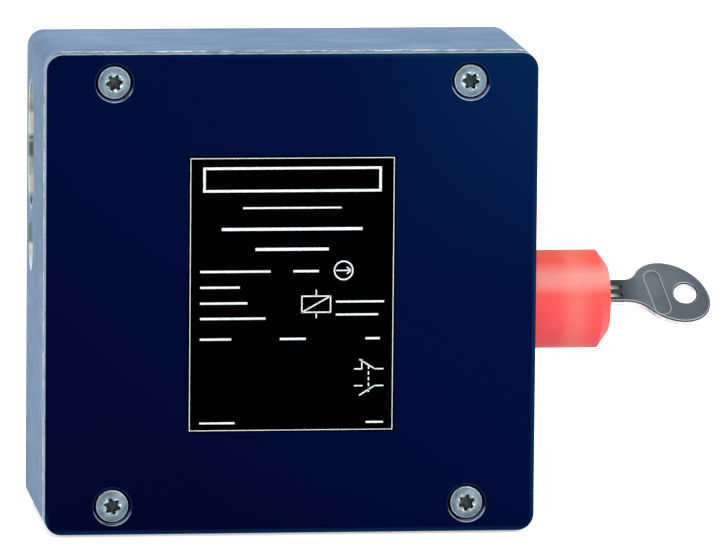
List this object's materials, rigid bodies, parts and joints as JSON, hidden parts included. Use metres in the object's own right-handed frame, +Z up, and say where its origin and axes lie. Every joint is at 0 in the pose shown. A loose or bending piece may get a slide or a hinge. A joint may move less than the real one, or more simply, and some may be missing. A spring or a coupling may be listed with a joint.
{
  "type": "tongue interlock switch",
  "caption": "Square flat metal case with a tongue slot on one side, a turned cam rotor and solenoid bolt inside, and a key release in a round cap on the other side.",
  "frame": {"origin": "centre of the case's rear mounting face", "axes": "+X towards the key lock, +Y out of the rear mounting face, +Z up, so that the cover faces -Y"},
  "size_m": [0.1419, 0.0463, 0.1],
  "materials": {
    "case_paint": "satin",
    "cover_paint": "satin",
    "gasket_rubber": "matte",
    "zinc_steel": "bright zinc",
    "bare_steel": "ground",
    "spring_steel": "drawn",
    "label_black": "printed",
    "guide_steel": "polished",
    "die_cast_zinc": "as cast",
    "copper_winding": "enamelled wire",
    "bobbin_nylon": "moulded",
    "switch_housing_black": "moulded",
    "plunger_red": "moulded",
    "plunger_white": "moulded",
    "contact_brass": "satin",
    "contact_copper": "satin",
    "terminal_grey": "moulded",
    "cap_red": "smooth, slightly translucent",
    "key_nickel": "dark polished nickel",
    "lock_nickel": "polished nickel"
  },
  "bodies": {
    "housing": {"case": "case_paint", "cover": "cover_paint", "cover_gasket": "gasket_rubber", "cover_screws": "zinc_steel", "label_plate": "label_black", "tongue_guide_lower": "guide_steel", "tongue_guide_upper": "guide_steel", "component_plate": "zinc_steel", "plate_screws": "zinc_steel", "rotor_bracket": "zinc_steel", "bracket_screws": "zinc_steel", "latch_spring": "spring_steel", "latch_sleeve": "contact_brass", "solenoid_yoke": "zinc_steel", "yoke_plate": "zinc_steel", "solenoid_channel": "zinc_steel", "solenoid_bobbin": "bobbin_nylon", "coil_winding": "copper_winding", "fixed_core": "bare_steel", "bolt_spring": "spring_steel", "lever_post": "bare_steel", "lever_clip": "spring_steel", "lock_barrel": "lock_nickel", "lock_cap": "cap_red", "lock_nut": "lock_nickel", "lock_seal": "gasket_rubber", "coil_terminal_block": "terminal_grey", "coil_terminal_screws": "zinc_steel", "earth_screw": "contact_brass", "door_switch_housing": "switch_housing_black", "door_switch_lid": "switch_housing_black", "door_switch_contacts": "contact_brass", "door_switch_terminal_screws": "zinc_steel", "door_switch_spring": "spring_steel", "lock_switch_housing": "switch_housing_black", "lock_switch_lid": "switch_housing_black", "lock_switch_contacts": "contact_brass", "lock_switch_terminal_screws": "zinc_steel", "lock_switch_spring": "spring_steel"},
    "rotor": {"cam_rotor": "die_cast_zinc", "latch_cam": "bare_steel", "rotor_axle": "bare_steel", "axle_clip": "spring_steel"},
    "door_contacts": {"door_switch_plunger": "plunger_red", "door_switch_closing_bridge": "contact_copper", "door_switch_opening_bridge": "contact_copper"},
    "ball": {"latch_ball": "bare_steel"},
    "bolt": {"lock_bolt": "bare_steel", "armature": "bare_steel", "switch_arm": "zinc_steel"},
    "lock_contacts": {"lock_switch_plunger": "plunger_white", "lock_switch_closing_bridge": "contact_copper", "lock_switch_opening_bridge": "contact_copper"},
    "plug": {"lock_plug": "lock_nickel", "release_cam": "bare_steel"},
    "key": {"key": "key_nickel"},
    "lever": {"release_lever": "zinc_steel"},
    "adjuster": {"latch_adjuster": "zinc_steel"}
  },
  "joints": [
    {"name": "rotor_turn", "type": "hinge", "parent": "housing", "child": "rotor", "pos_m": [-0.032, -0.0196, 0.027], "axis": [0, 0, -1], "range_deg": [-45, 0]},
    {"name": "door_plunger", "type": "slide", "parent": "housing", "child": "door_contacts", "axis": [1, 0, 0], "range_m": [0, 0.003], "stiffness_N_per_m": 4, "springref_m": -0.003, "deforming": ["door_switch_spring"]},
    {"name": "latch_slide", "type": "slide", "parent": "housing", "child": "ball", "axis": [1, 0, 0], "range_m": [-0.001, 0], "deforming": ["latch_spring"]},
    {"name": "bolt_slide", "type": "slide", "parent": "housing", "child": "bolt", "axis": [0, 0, 1], "range_m": [0, 0.004], "stiffness_N_per_m": 20, "springref_m": -0.004, "deforming": ["bolt_spring"]},
    {"name": "lock_plunger", "type": "slide", "parent": "housing", "child": "lock_contacts", "axis": [0, 0, 1], "range_m": [0, 0.004], "deforming": ["lock_switch_spring"]},
    {"name": "key_turn", "type": "hinge", "parent": "housing", "child": "plug", "pos_m": [0.06, -0.023, -0.0048], "axis": [-1, 0, 0], "range_deg": [-90, 0]},
    {"name": "key_pull", "type": "slide", "parent": "plug", "child": "key", "axis": [1, 0, 0], "range_m": [0, 0.03]},
    {"name": "release_rock", "type": "hinge", "parent": "housing", "child": "lever", "pos_m": [0.002, -0.031, 0.0015], "axis": [0, 1, 0], "range_deg": [-7.3, 0]},
    {"name": "adjuster_turn", "type": "hinge", "parent": "housing", "child": "adjuster", "pos_m": [-0.048, -0.0105, 0.0055], "axis": [1, 0, 0], "continuous": true}
  ],
  "couplings": [
    {"joint": "door_plunger", "follows": "rotor_turn", "m_per_rad": -0.0038197},
    {"joint": "latch_slide", "follows": "rotor_turn", "m_per_rad": 0.0012732},
    {"joint": "lock_plunger", "follows": "bolt_slide", "ratio": 1},
    {"joint": "release_rock", "follows": "key_turn", "ratio": 0.0806}
  ]
}
